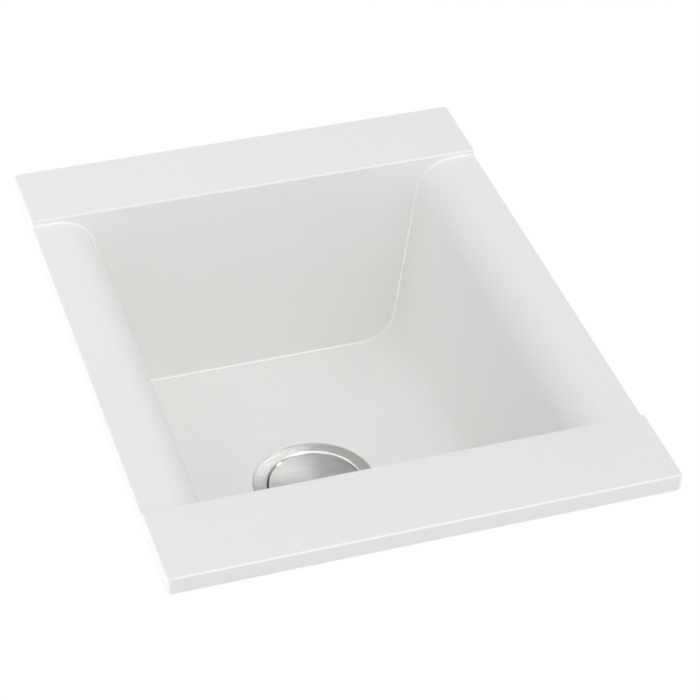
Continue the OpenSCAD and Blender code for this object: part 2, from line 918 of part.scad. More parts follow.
// Section of the basket below its rolled rim: shoulder, tapered side and bottom
module basket_section() {
    top_r = basket_rim_r - basket_bead_r + basket_t / 2;
    polygon([
        [top_r - basket_t, basket_rim_z],
        [top_r, basket_rim_z],
        [basket_shoulder_r, basket_shoulder_z],
        [basket_bottom_r, basket_z],
        [0, basket_z],
        [0, basket_z + basket_t],
        [basket_bottom_r - basket_t, basket_z + basket_t],
        [basket_shoulder_r - basket_t, basket_shoulder_z]
    ]);
}

module basket_slot_cuts() {
    low = basket_z + basket_slot_low;
    high = basket_shoulder_z - basket_slot_high;
    for (i = [0:basket_slots / 2 - 1])
        rotate(i * 360 / basket_slots)
            translate([-basket_rim_r, -basket_slot_w / 2, low])
                cube([2 * basket_rim_r, basket_slot_w, high - low]);
}

// Three rings of holes in the basket's bottom
module basket_hole_cuts() {
    for (ring = [0:2]) {
        holes = basket_ring_holes * (ring + 1);
        for (i = [0:holes - 1])
            rotate(i * 360 / holes)
                translate([basket_ring_r - (2 - ring) * basket_ring_step, 0, basket_z - over])
                    cylinder(h = basket_t + 2 * over, r = basket_hole_r, $fn = 24);
    }
}

module strainer_basket() {
    color(steel)
        at_waste()
            difference() {
                union() {
                    rotate_extrude()
                        basket_section();
                    translate([0, 0, basket_rim_z])
                        rotate_extrude()
                            translate([basket_rim_r - basket_bead_r, 0])
                                circle(basket_bead_r);
                }
                basket_slot_cuts();
                basket_hole_cuts();
                translate([0, 0, basket_z - over])
                    cylinder(h = basket_t + 2 * over, r = stem_r);
            }
}

// Turned post that lifts the basket, with its pin in the bolt
module basket_post() {
    pin_low = bolt_top_z - pin_l;
    collar_z = basket_z + basket_t;
    color(steel)
        at_waste() {
            translate([0, 0, pin_low])
                cylinder(h = post_nut_z - pin_low, r = pin_r);
            translate([0, 0, post_nut_z])
                cylinder(h = collar_z - post_nut_z, r = stem_r);
            translate([0, 0, collar_z])
                cylinder(h = post_collar_h, r = post_collar_r);
            translate([0, 0, collar_z])
                cylinder(h = grip_z - collar_z, r = post_r);
            translate([0, 0, grip_z])
                rotate_extrude()
                    grip_section();
        }
}

module grip_section() {
    square([grip_r - grip_h / 2, grip_h]);
    translate([grip_r - grip_h / 2, grip_h / 2])
        circle(grip_h / 2);
}

// Section of the stopper: boss, disc and tapered skirt
module stopper_section() {
    translate([stem_r, stopper_z])
        square([stopper_boss_r - stem_r, stopper_t + stopper_boss_h]);
    translate([stem_r, stopper_z])
        square([stopper_r - stem_r, stopper_t]);
    polygon([
        [stopper_skirt_r - stopper_taper, stopper_z],
        [stopper_skirt_r, cup_z],
        [stopper_r - stopper_taper, cup_z],
        [stopper_r, stopper_z]
    ]);
}

module stopper_seal() {
    color(black_rubber)
        at_waste()
            rotate_extrude()
                stopper_section();
}

module post_nut() {
    color(zinc)
        at_waste()
            translate([0, 0, post_nut_z])
                difference() {
                    cylinder(h = post_nut_t, r = post_nut_r, $fn = 6);
                    translate([0, 0, -over])
                        cylinder(h = post_nut_t + 2 * over, r = stem_r);
                }
}

// Round outline of the dome's outer or inner face, in fine steps because its radius is large
module dome_circle(inset) {
    translate([0, cap_top_z - dome_r])
        circle(dome_r - inset, $fn = 720);
}

// Section of the domed cover with its turned-down edge
module cap_section() {
    intersection() {
        difference() {
            dome_circle(0);
            dome_circle(cap_t);
        }
        translate([0, cap_edge_z - 2 * cap_t])
            square([cap_r, cap_rise + 2 * cap_t]);
    }
    translate([cap_r - cap_t, cap_edge_z - cap_edge_h])
        square([cap_t, cap_edge_h]);
}

module cover_cap() {
    color(steel)
        at_waste()
            rotate_extrude()
                cap_section();
}

// Ring under the dome, with feet that stand on the basket's rim
module cap_carrier() {
    color(grey_plastic)
        at_waste()
            difference() {
                rotate_extrude()
                    intersection() {
                        dome_circle(cap_t + carrier_glue_t);
                        translate([carrier_r - carrier_w, carrier_z])
                            square([carrier_w, cap_top_z - carrier_z]);
                    }
                for (i = [0:carrier_feet - 1])
                    rotate((i + 0.5) * 360 / carrier_feet)
                        translate([0, 0, carrier_z - over])
                            foot_gap(carrier_gap_h + over);
            }
}

// Opening between two neighbouring feet
module foot_gap(h) {
    half = 180 / carrier_feet - asin(carrier_foot_w / 2 / carrier_r);
    reach = 2 * carrier_r;
    linear_extrude(height = h)
        polygon([
            [0, 0],
            [reach * cos(half), -reach * sin(half)],
            [2 * reach, 0],
            [reach * cos(half), reach * sin(half)]
        ]);
}

sink_body();
rim_seal();
clamp_anchors();
for (i = [1:clamp_count]) {
    clamp_screw(i - 1);
    clamp_claw(i - 1);
}
waste_flange();
flange_seal();
under_seal();
waste_body();
waste_insert();
waste_bolt();
strainer_basket();
basket_post();
stopper_seal();
post_nut();
cover_cap();
cap_carrier();
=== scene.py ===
import bmesh
import bpy
import math
import numpy as np
from mathutils import Matrix, Vector


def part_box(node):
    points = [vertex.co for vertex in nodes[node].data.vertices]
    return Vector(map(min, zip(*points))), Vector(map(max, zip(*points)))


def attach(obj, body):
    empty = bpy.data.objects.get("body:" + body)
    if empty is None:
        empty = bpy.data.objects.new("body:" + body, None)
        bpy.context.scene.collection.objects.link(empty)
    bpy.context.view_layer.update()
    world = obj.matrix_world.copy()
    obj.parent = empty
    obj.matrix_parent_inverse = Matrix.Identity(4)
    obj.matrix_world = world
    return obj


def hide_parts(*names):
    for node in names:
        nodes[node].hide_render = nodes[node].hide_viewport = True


# White granite composite sink with its waste, strainer basket and worktop clamps
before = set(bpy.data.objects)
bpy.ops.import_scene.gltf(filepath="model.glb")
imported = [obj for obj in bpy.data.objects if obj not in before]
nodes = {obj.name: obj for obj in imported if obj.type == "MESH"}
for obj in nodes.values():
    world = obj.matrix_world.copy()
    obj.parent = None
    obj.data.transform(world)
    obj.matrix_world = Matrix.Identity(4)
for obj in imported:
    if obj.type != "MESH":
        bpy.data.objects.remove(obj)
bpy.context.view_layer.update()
mm = 0.001
tau = 2 * math.pi
print("frame loaded:", len(nodes), "nodes")


# surfaces are grids of points in mm, joined into one mesh for each piece
weld = 0.002          # mm within which two corners become one
onPlane = 0.004       # mm that the rim of an opening may lie off the opening's plane
sharp = 35            # degrees between two faces from which their edge is drawn sharp
tiny = 1e-12          # keeps a division away from 0


def gridFaces(rows, columns, wrap=False):
    # quads between neighbouring rows and columns, where a corner's number is row * columns + column,
    # and wrap joins the last column to the first
    row = np.arange(rows - 1)[:, None] * columns
    column = np.arange(columns if wrap else columns - 1)[None, :]
    after = (column + 1) % columns
    quads = np.stack(np.broadcast_arrays(
        row + column, row + after, row + columns + after, row + columns + column), -1)
    return quads.reshape(-1, 4)


def gridPart(points, wrap=False, polishAndHighlight=0.0):
    # points has the shape rows, columns, 3, and the mark that makes a round smoother and paints it white as a
    # highlight has one value for each row
    rows, columns = points.shape[:2]
    mark = np.repeat(np.broadcast_to(polishAndHighlight, rows), columns)
    return points.reshape(-1, 3), gridFaces(rows, columns, wrap), mark


def turned(profile, steps, centre):
    # a profile of radius and height carried once round an upright axis:
    # x = centre + radius * cosine of the angle, y the same with its sine
    angle = np.linspace(0, tau, steps, endpoint=False)
    r, z = np.array(profile, float).T
    x = centre[0] + r[:, None] * np.cos(angle)
    y = centre[1] + r[:, None] * np.sin(angle)
    return gridPart(np.stack([x, y, np.broadcast_to(z[:, None], x.shape)], -1), wrap=True)


def arcPoints(centre, radius, start, stop, steps):
    # centre + radius * (cosine, sine) in the plane of the profile, angles in degrees
    angle = np.radians(np.linspace(start, stop, steps + 1))
    return np.stack([centre[0] + radius * np.cos(angle), centre[1] + radius * np.sin(angle)], -1)


def cadPart(node, keep):
    # the triangles of a CAD node for which keep says yes, from their corners, middles and normals in mm
    mesh = nodes[node].data
    mesh.calc_loop_triangles()
    points = np.zeros(len(mesh.vertices) * 3, np.float32)
    mesh.vertices.foreach_get("co", points)
    points = points.reshape(-1, 3).astype(float) / mm
    triangles = np.zeros(len(mesh.loop_triangles) * 3, np.int32)
    mesh.loop_triangles.foreach_get("vertices", triangles)
    triangles = triangles.reshape(-1, 3)
    corners = points[triangles]
    normal = np.cross(corners[:, 1] - corners[:, 0], corners[:, 2] - corners[:, 0])
    normal /= np.maximum(np.linalg.norm(normal, axis=1, keepdims=True), tiny)
    return points, triangles[keep(corners, corners.mean(1), normal)]


def makePiece(name, parts, body, material, replaced, fills=()):
    # joins the parts, welds their seams, closes the flat openings and turns all faces outwards
    points, faces, polishAndHighlight, first = [], [], [], 0
    for partPoints, partFaces, *mark in parts:
        points.append(partPoints)
        faces += (np.asarray(partFaces) + first).tolist()
        polishAndHighlight.append(np.broadcast_to(mark[0] if mark else 0.0, len(partPoints)))
        first += len(partPoints)
    mesh = bpy.data.meshes.new(name)
    mesh.from_pydata((np.concatenate(points) * mm).tolist(), [], faces)
    # the mark per corner, which the composite shows as a smoother skin and a painted white highlight
    mesh.attributes.new("polishAndHighlight", "FLOAT", "POINT").data.foreach_set(
        "value", np.concatenate(polishAndHighlight).astype(np.float32))
    shell = bmesh.new()
    shell.from_mesh(mesh)
    bmesh.ops.remove_doubles(shell, verts=shell.verts, dist=weld * mm)
    bmesh.ops.dissolve_degenerate(shell, dist=weld * mm, edges=shell.edges)
    loose = [v for v in shell.verts if not v.link_faces]
    bmesh.ops.delete(shell, geom=loose, context="VERTS")
    for inPlane in fills:
        rim = [e for e in shell.edges if e.is_boundary and all(inPlane(v.co / mm) for v in e.verts)]
        bmesh.ops.triangle_fill(shell, use_beauty=True, use_dissolve=False, edges=rim)
    bmesh.ops.recalc_face_normals(shell, faces=shell.faces)
    openEdges = sum(e.is_boundary for e in shell.edges)
    shell.to_mesh(mesh)
    shell.free()
    mesh.polygons.foreach_set("use_smooth", np.ones(len(mesh.polygons), bool))
    mesh.set_sharp_from_angle(angle=math.radians(sharp))
    mesh.materials.append(material)
    piece = bpy.data.objects.new(name, mesh)
    bpy.context.scene.collection.objects.link(piece)
    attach(piece, body)
    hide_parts(*replaced)
    print(f"{name}: {len(mesh.polygons)} faces, {openEdges} open edges")


# short ways to write material nodes

def newMaterial(name):
    material = bpy.data.materials.new(name)
    material.use_nodes = True
    tree = material.node_tree
    return material, tree, tree.nodes["Principled BSDF"]


def addNode(tree, kind, inputs=None, **settings):
    # an input is a link where its value is a socket, and else a constant on the node's own socket
    node = tree.nodes.new(kind)
    for key, value in settings.items():
        setattr(node, key, value)
    for key, value in (inputs or {}).items():
        if isinstance(value, bpy.types.NodeSocket):
            tree.links.new(value, node.inputs[key])
        else:
            node.inputs[key].default_value = value
    return node


def objectPlace(tree, centre=(0, 0, 0), scale=(1, 1, 1)):
    # Object coordinates moved so that the centre is at 0, then scaled
    place = addNode(tree, "ShaderNodeTexCoord").outputs["Object"]
    shift = tuple(-c * s for c, s in zip(centre, scale))
    return addNode(tree, "ShaderNodeMapping", {"Vector": place, "Location": shift, "Scale": scale}).outputs[0]


def noise(tree, place, size, detail=2.0, rough=0.5):
    # size is the width of one grain in metres
    return addNode(tree, "ShaderNodeTexNoise", {
        "Vector": place, "Scale": 1 / size, "Detail": detail, "Roughness": rough}).outputs["Fac"]


def span(tree, value, low, high, toLow=0.0, toHigh=1.0):
    # low to high becomes toLow to toHigh, and stays there beyond both ends
    return addNode(tree, "ShaderNodeMapRange", {
        "Value": value, "From Min": low, "From Max": high, "To Min": toLow, "To Max": toHigh}).outputs[0]


def blend(tree, factor, first, second):
    # the colour sockets of the mix node are inputs 6 and 7 and output 2
    mix = addNode(tree, "ShaderNodeMix", data_type="RGBA")
    for socket, value in zip((mix.inputs[0], mix.inputs[6], mix.inputs[7]), (factor, first, second)):
        if isinstance(value, bpy.types.NodeSocket):
            tree.links.new(value, socket)
        else:
            socket.default_value = value
    return mix.outputs[2]


def maths(tree, operation, first, second=0.0):
    return addNode(tree, "ShaderNodeMath", {0: first, 1: second}, operation=operation).outputs[0]


def sumOf(tree, first, firstShare, second, secondShare):
    # first * its share + second * its share
    return maths(tree, "ADD", maths(tree, "MULTIPLY", first, firstShare),
                 maths(tree, "MULTIPLY", second, secondShare))


def bump(tree, shader, height, distance):
    out = addNode(tree, "ShaderNodeBump", {"Height": height, "Distance": distance}).outputs[0]
    tree.links.new(out, shader.inputs["Normal"])


def srgb(r, g, b):
    # a colour as read from a picture, made linear by the standard sRGB curve
    channel = np.array([r, g, b]) / 255
    linear = np.where(channel <= 0.04045, channel / 12.92, ((channel + 0.055) / 1.055) ** 2.4)
    return tuple(linear) + (1.0,)


# granite composite, from which the whole sink is cast; sizes in metres, two numbers are a span
# that becomes 0 to 1, and four are a span and what it becomes
compositeLook = {
    "main": srgb(247, 246.4, 245.2),
    "pale": srgb(252, 251.5, 251),
    "grey": srgb(229, 228, 226),
    "under": srgb(226, 225, 222),
    # painted highlight: the near-white that the marked rounds of joints, lips, recess and rim are painted
    "polishedHighlight": srgb(255, 255, 254),
    "grain": 0.0009, "grainDetail": 3.0, "grainRough": 0.6,
    "cloud": 0.06,
    "speck": 0.0016,
    "speckEdge": (0.38, 0.2),                # distance from a speck's middle, as a share of its cell
    "paleShare": (0.86, 0.9),                # specks with a random value above these are pale
    "greyShare": (0.88, 0.92, 0, 0.55),      # and by a second random value some are grey
    "grainTone": (0.35, 0.7, 0, 0.16),
    "cloudTone": (0.3, 0.7, 0, 0.05),
    "below": (-0.02, -0.3),                  # the rougher underside, by the upward part of the normal
    "roughness": (0.3, 0.7, 0.5, 0.62),
    "belowRougher": 0.2,
    "rubbedSmoother": 0.32,
    "specular": 0.4,
    "ripple": 0.0035, "rippleHeight": 1.6,
    "relief": 0.00003,
}


def graniteComposite(look):
    # fine mineral grains in a pale resin: two kinds of speck, a slow cloud and a satin skin,
    # coarser where it faces down, and where the rounds are marked as rubbed, smoother and painted near white
    # as a highlight
    material, tree, shader = newMaterial("graniteComposite")
    place = objectPlace(tree)
    grain = noise(tree, place, look["grain"], look["grainDetail"], look["grainRough"])
    cloud = noise(tree, place, look["cloud"])
    specks = addNode(tree, "ShaderNodeTexVoronoi", {"Vector": place, "Scale": 1 / look["speck"]})
    pick = addNode(tree, "ShaderNodeSeparateColor", {"Color": specks.outputs["Color"]})
    near = span(tree, specks.outputs["Distance"], *look["speckEdge"])
    paleSpeck = maths(tree, "MULTIPLY", near, span(tree, pick.outputs[0], *look["paleShare"]))
    greySpeck = maths(tree, "MULTIPLY", near, span(tree, pick.outputs[1], *look["greyShare"]))
    colour = blend(tree, span(tree, grain, *look["grainTone"]), look["main"], look["grey"])
    colour = blend(tree, paleSpeck, colour, look["pale"])
    colour = blend(tree, greySpeck, colour, look["grey"])
    colour = blend(tree, span(tree, cloud, *look["cloudTone"]), colour, look["grey"])
    facing = addNode(tree, "ShaderNodeNewGeometry").outputs["Normal"]
    facing = addNode(tree, "ShaderNodeSeparateXYZ", {"Vector": facing}).outputs[2]
    below = span(tree, facing, *look["below"])
    colour = blend(tree, below, colour, look["under"])
    # painted highlight: marked rounds are painted near white here and made smoother below
    polishedHighlight = addNode(tree, "ShaderNodeAttribute", attribute_name="polishAndHighlight").outputs["Fac"]
    colour = blend(tree, polishedHighlight, colour, look["polishedHighlight"])
    tree.links.new(colour, shader.inputs["Base Color"])
    rough = span(tree, grain, *look["roughness"])
    rough = maths(tree, "ADD", rough, maths(tree, "MULTIPLY", below, look["belowRougher"]))
    rough = maths(tree, "SUBTRACT", rough, maths(tree, "MULTIPLY", polishedHighlight, look["rubbedSmoother"]))
    tree.links.new(rough, shader.inputs["Roughness"])
    shader.inputs["Specular IOR Level"].default_value = look["specular"]
    ripple = maths(tree, "MULTIPLY", noise(tree, place, look["ripple"]), look["rippleHeight"])
    bump(tree, shader, maths(tree, "ADD", grain, ripple), look["relief"])
    return material


composite = graniteComposite(compositeLook)


# the sink's rim, strips, lands, bowl and recess as one surface, on the CAD's own underside
sinkShape = {
    "landWidth": 22, "rollRadius": 34, "sideLean": 8, "sweepRadius": 34,
    "stripLength": 79, "step": 5, "depth": 200, "endLean": 1.5,
    "slab": 15, "edgeRound": 2, "cornerRadius": 4,
    "jointRound": 1.7,             # round along the foot of each end wall
    "fall": 7, "ease": 0.18,       # of the floor, ease being the share of the way that is eased at each end
    "wasteY": 20, "recessRadius": 56.3, "recessRound": 1.4, "recessDepth": 3.3,
    "rubAndHighlight": 1.5, "rimRubAndHighlight": 0.6,     # how strongly the middle of each round is rubbed smoother and painted white as a highlight
    "rollSteps": 28, "sweepSteps": 28, "lengthSteps": 64, "floorSteps": 32, "ringSteps": 26,
    "landSteps": 4, "wallSteps": 7, "roundSteps": 8, "stripSteps": 5, "backSteps": 8, "lipSteps": 6,
    # what makes way for it in the CAD's node: forms there, and how near to them a face must be
    "cut": {
        "recessRadius": 57.5, "grooveInset": 2.8, "grooveCorner": 10.4,
        "upward": 0.01, "plane": 0.01, "side": 0.25, "ring": 1, "recessWall": 0.6, "bowl": 0.5},
}


def roundedBoxDistance(x, y, halfX, halfY, radius):
    # how far a place lies outside a rectangle with rounded corners, below 0 inside it
    qx, qy = np.abs(x) - halfX + radius, np.abs(y) - halfY + radius
    return np.hypot(np.maximum(qx, 0), np.maximum(qy, 0)) + np.minimum(np.maximum(qx, qy), 0) - radius


def sinkParts(s):
    low, high = [np.array(c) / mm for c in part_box("sink_body")]
    halfX, halfY, stripZ = high
    landZ, floorZ, rimZ = stripZ - s["step"], stripZ - s["depth"], stripZ - s["slab"]
    lowZ = floorZ - s["fall"]
    seatZ = lowZ - s["recessDepth"]
    edge, lean, endLean = s["edgeRound"], math.radians(s["sideLean"]), math.radians(s["endLean"])
    bowlY = halfY - s["stripLength"]
    centre = (0, s["wasteY"])

    # half section, each point with its normal: a level land, the roll as centre + radius * (cos a, sin a),
    # a straight wall and the sweep as centre + radius * (cos b, sin b), both met by the wall at its lean
    rollX, roll, sweep = halfX - s["landWidth"], s["rollRadius"], s["sweepRadius"]
    landX = np.linspace(halfX - edge, rollX, s["landSteps"] + 1)[:-1]
    a = np.radians(np.linspace(90, 180 - s["sideLean"], s["rollSteps"] + 1))
    rollPoints = np.stack([rollX + roll * np.cos(a), landZ - roll + roll * np.sin(a)], -1)
    footX = rollPoints[-1, 0] - (rollPoints[-1, 1] - floorZ - sweep) * math.tan(lean) - sweep / math.cos(lean)
    b = np.radians(np.linspace(-s["sideLean"], -90, s["sweepSteps"] + 1))
    sweepPoints = np.stack([footX + sweep * np.cos(b), floorZ + sweep + sweep * np.sin(b)], -1)
    part = np.linspace(0, 1, s["wallSteps"] + 1)[1:-1, None]
    wallPoints = rollPoints[-1] * (1 - part) + sweepPoints[0] * part
    landPoints = np.stack([landX, np.full(len(landX), landZ)], -1)
    half = np.concatenate([landPoints, rollPoints, wallPoints, sweepPoints])
    halfNormal = np.concatenate([
        np.tile([0.0, 1.0], (len(landX), 1)), np.stack([np.cos(a), np.sin(a)], -1),
        np.tile([-math.cos(lean), math.sin(lean)], (len(wallPoints), 1)),
        -np.stack([np.cos(b), np.sin(b)], -1)])
    floorX = np.linspace(footX, -footX, s["floorSteps"] + 1)
    middle = np.stack([floorX[1:-1], np.full(len(floorX) - 2, floorZ)], -1)
    section = np.concatenate([half, middle, half[::-1] * [-1, 1]])
    normal = np.concatenate([
        halfNormal, np.tile([0.0, 1.0], (len(middle), 1)), halfNormal[::-1] * [-1, 1]])

    # joint: a ball of the round's radius r rolls along the section against the leaning end wall, and
    # the round is ball - r * a direction turned evenly from the section's normal to the wall's
    r = s["jointRound"]
    wallNormal = np.array([0, -math.cos(endLean), math.sin(endLean)])
    ballZ = section[:, 1] + r * normal[:, 1]
    ballY = bowlY - r / math.cos(endLean) + math.tan(endLean) * (ballZ - stripZ)
    ball = np.stack([section[:, 0] + r * normal[:, 0], ballY, ballZ], -1)
    across = np.stack([normal[:, 0], np.zeros(len(normal)), normal[:, 1]], -1)
    gamma = np.arccos(across @ wallNormal)[None, :, None]
    phi = np.linspace(0, 1, s["roundSteps"] + 1)[:, None, None]
    towards = (np.sin((1 - phi) * gamma) * across + np.sin(phi * gamma) * wallNormal) / np.sin(gamma)
    joint = ball - r * towards

    # the section carried along Y between the two joints, as far as the floor
    reach = ballY[:len(half)]
    along = np.linspace(-1, 1, s["lengthSteps"] + 1)
    sides = np.stack(np.broadcast_arrays(half[:, 0], along[:, None] * reach, half[:, 1]), -1)

    # the floor: straight lines from the recess to the floor's border, whose height is
    # border - fall * (1 - rise), where rise goes evenly from 0 to 1 and is a parabola near both ends
    sideY, endX = along * reach[-1], floorX[::-1]
    border = np.concatenate([
        np.stack([np.full(len(sideY) - 1, footX), sideY[:-1]], -1),
        np.stack([-endX[:-1], np.full(len(endX) - 1, reach[-1])], -1),
        np.stack([np.full(len(sideY) - 1, -footX), -sideY[:-1]], -1),
        np.stack([endX[:-1], np.full(len(endX) - 1, -reach[-1])], -1)])
    turn = np.arctan2(border[:, 1] - centre[1], border[:, 0])
    ringR, e, ease = s["recessRadius"], s["recessRound"], s["ease"]
    ring = np.stack([np.cos(turn), np.sin(turn)], -1)
    inner = ring * (ringR + e) + centre
    t = np.linspace(0, 1, s["ringSteps"] + 1)[:, None, None]
    plan = inner * (1 - t) + border * t
    t = t[..., 0]
    rise = np.where(t > 1 - ease, 1 - ease - (1 - t) ** 2 / (2 * ease), t - ease / 2)
    rise = np.where(t < ease, t * t / (2 * ease), rise)
    fallen = floorZ - s["fall"] * (1 - rise / (1 - ease))
    floor = np.concatenate([plan, np.broadcast_to(fallen[..., None], plan.shape[:2] + (1,))], -1)

    # the recess's edge: a quarter round of radius e, then straight down to the seat
    psi = np.radians(np.linspace(0, 90, s["lipSteps"] + 1))
    lip = np.stack([ringR + e - e * np.sin(psi), lowZ - e + e * np.cos(psi)], -1)
    lip = np.concatenate([lip, [[ringR, seatZ]]])
    recess = np.stack(np.broadcast_arrays(
        lip[:, :1] * ring[:, 0], lip[:, :1] * ring[:, 1] + centre[1], lip[:, 1:]), -1)

    # rounded lip of each strip, as wide as the rim's flat top: centre + edge * (-cos d, sin d)
    flank = halfX - edge
    d = np.radians(np.linspace(s["endLean"], 90, s["roundSteps"] + 1))
    lipY = bowlY - math.tan(endLean) * edge + edge / math.cos(endLean)
    lipDirection = np.stack([np.zeros(len(d)), -np.cos(d), np.sin(d)], -1)
    stripLip = np.array([0, lipY, stripZ - edge]) + edge * lipDirection
    lipGrid = np.stack([stripLip + [flank, 0, 0], stripLip - [flank, 0, 0]], 1)

    # rim: the inset outline T with the top's normal n and the outward normal m,
    # rounded over by T + r (m sin - n (1 - cos)) and carried down to the underside
    up = np.array([0.0, 0.0, 1.0])
    c = s["cornerRadius"]
    beta = np.radians(np.linspace(0, 90, s["roundSteps"] + 1))[1:]
    landY = along[along >= 0] * reach[0]
    stripY = np.linspace(lipY, halfY - c, s["stripSteps"] + 1)[1:]
    backX = np.linspace(halfX - c, 0, s["backSteps"] + 1)[1:]
    quarter = np.concatenate([
        np.stack(np.broadcast_arrays(flank, landY, landZ), -1), joint[1:, 0], stripLip + [flank, 0, 0],
        np.stack(np.broadcast_arrays(flank, stripY, stripZ), -1),
        np.stack(np.broadcast_arrays(halfX - c + (c - edge) * np.cos(beta),
                                     halfY - c + (c - edge) * np.sin(beta), stripZ), -1),
        np.stack(np.broadcast_arrays(backX, halfY - edge, stripZ), -1)])
    topNormal = np.concatenate([
        np.tile(up, (len(landY), 1)), towards[1:, 0], lipDirection,
        np.tile(up, (len(stripY) + len(beta) + len(backX), 1))])
    straight = len(landY) + len(joint) - 1 + len(stripLip) + len(stripY)
    outward = np.concatenate([
        np.tile([1.0, 0, 0], (straight, 1)), np.stack([np.cos(beta), np.sin(beta), 0 * beta], -1),
        np.tile([0, 1.0, 0], (len(backX), 1))])

    def allRound(q):
        # a quarter mirrored into the other three, without its end points twice
        back = q[::-1][1:] * [-1, 1, 1]
        front = q[1:] * [-1, -1, 1]
        return np.concatenate([q, back, front, (q[::-1] * [1, -1, 1])[1:-1]])

    outline, topNormal, outward = allRound(quarter), allRound(topNormal), allRound(outward)
    theta = np.radians(np.linspace(0, 90, s["roundSteps"] + 1))[:, None, None]
    band = outline + edge * (outward * np.sin(theta) - topNormal * (1 - np.cos(theta)))
    foot = band[-1:].copy()
    foot[..., 2] = rimZ
    rim = np.concatenate([band, foot])

    # of the CAD's node only what faces down or lies inside the hole and the groove is kept
    def keep(corners, middlePoint, faceNormal):
        x, y, z = middlePoint.T
        cut = s["cut"]
        inset = cut["grooveInset"]
        top = (faceNormal[:, 2] > cut["upward"]) & (z > seatZ - cut["plane"])
        outside = roundedBoxDistance(x, y, halfX, halfY, c) > -cut["side"]
        edgeRing = (np.abs(z - rimZ) < cut["plane"]) & (roundedBoxDistance(
            x, y, halfX - inset, halfY - inset, cut["grooveCorner"]) > -cut["ring"])
        radius = np.hypot(x, y - centre[1])
        recessWall = (np.abs(radius - cut["recessRadius"]) < cut["recessWall"]) & (z > seatZ)
        wallX = np.interp(z, half[::-1, 1], half[::-1, 0])
        wallY = bowlY - math.tan(endLean) * (stripZ - z)
        inBowl = (np.abs(x) < wallX + cut["bowl"]) & (np.abs(y) < wallY + cut["bowl"]) & (
            z > lowZ - cut["bowl"])
        return ~(top | outside | edgeRing | recessWall | inBowl)

    flip = np.array([1, -1, 1])
    # each round is marked most at its middle, where it is smoother and painted white as a highlight
    crown = np.minimum(s["rubAndHighlight"] * np.sin(np.linspace(0, math.pi, s["roundSteps"] + 1)), 1)
    parts = [
        gridPart(joint, polishAndHighlight=crown), gridPart(joint * flip, polishAndHighlight=crown),
        gridPart(sides), gridPart(sides * [-1, 1, 1]), gridPart(floor, wrap=True),
        gridPart(recess, wrap=True, polishAndHighlight=np.append(np.sin(psi * 2), 0)),
        gridPart(lipGrid, polishAndHighlight=crown), gridPart(lipGrid * flip, polishAndHighlight=crown),
        gridPart(rim, wrap=True, polishAndHighlight=np.append(crown * s["rimRubAndHighlight"], 0)), cadPart("sink_body", keep)]

    def onWall(v, side):
        return abs(wallNormal[1] * (side * v.y - bowlY) + wallNormal[2] * (v.z - stripZ)) < onPlane

    fills = [
        lambda v: v.y > 0 and abs(v.z - stripZ) < onPlane,
        lambda v: v.y < 0 and abs(v.z - stripZ) < onPlane,
        lambda v: onWall(v, 1), lambda v: onWall(v, -1),
        lambda v: abs(v.z - rimZ) < onPlane, lambda v: abs(v.z - seatZ) < onPlane]
    return parts, fills


parts, fills = sinkParts(sinkShape)
makePiece("sinkShell", parts, "sink", composite, ["sink_body"], fills)


# metals: brush is the width of one brushed line in metres, stretch the sheen's anisotropy,
# and bright holds the radii in mm between which a band is polished smoother and painted paler as a highlight
metalLook = {
    # the polished colours are paler than the brushed ones: painted highlights on the banded rounds
    "steel": {
        "pale": srgb(191, 190, 189), "dark": srgb(165, 164, 163), "polishedBandHighlight": srgb(214, 213, 212),
        "rough": (0.22, 0.3), "brush": 0.00035, "stretch": 0.92, "bright": ((42.5, 45.0), (55.5, 57))},
    "cover": {
        "pale": srgb(174, 173, 172), "dark": srgb(148, 147, 146), "polishedBandHighlight": srgb(227, 226, 225),
        "rough": (0.31, 0.41), "brush": 0.00035, "stretch": 0.6, "bright": ((40.9, 42),)},
    "brass": {
        "pale": srgb(216, 188, 120), "dark": srgb(176, 146, 84),
        "rough": (0.22, 0.4), "brush": 0.0005, "stretch": 0.3},
    "zinc": {
        "pale": srgb(190, 192, 194), "dark": srgb(150, 152, 155),
        "rough": (0.3, 0.5), "brush": 0.0015, "streakScale": (1, 1, 0.15), "spangle": 0.0022,
        "spangleShare": 0.4, "streakShare": 0.6, "contrast": (0.25, 0.75), "glossContrast": (0.3, 0.7),
        "detail": 3.0, "relief": 0.00001},
}

# what all metals brushed in circles share
brushLook = {
    "around": 2.5, "detail": 3.0, "contrast": (0.3, 0.7),        # around is the noise's steps in one radian
    "mark": 0.012, "markDetail": 3.0, "markTone": (0.4, 0.7, 0, 0.025),
    "polishedSmoother": 0.06, "relief": 0.000006,
    "turn": 0.25,                                   # the grooves spread light across themselves
}
wasteAxis = (0.0, sinkShape["wasteY"] * mm, 0.0)


def roundAxis(tree, centre):
    # distance from the upright axis, height, and the sideways direction that circular brushing follows
    place = objectPlace(tree, centre)
    apart = addNode(tree, "ShaderNodeSeparateXYZ", {"Vector": place})
    flat = addNode(tree, "ShaderNodeCombineXYZ", {"X": apart.outputs[0], "Y": apart.outputs[1]}).outputs[0]
    radius = addNode(tree, "ShaderNodeVectorMath", {0: flat}, operation="LENGTH").outputs["Value"]
    way = addNode(tree, "ShaderNodeVectorMath", {0: (0, 0, 1), 1: flat}, operation="CROSS_PRODUCT").outputs[0]
    return place, radius, apart.outputs[2], way


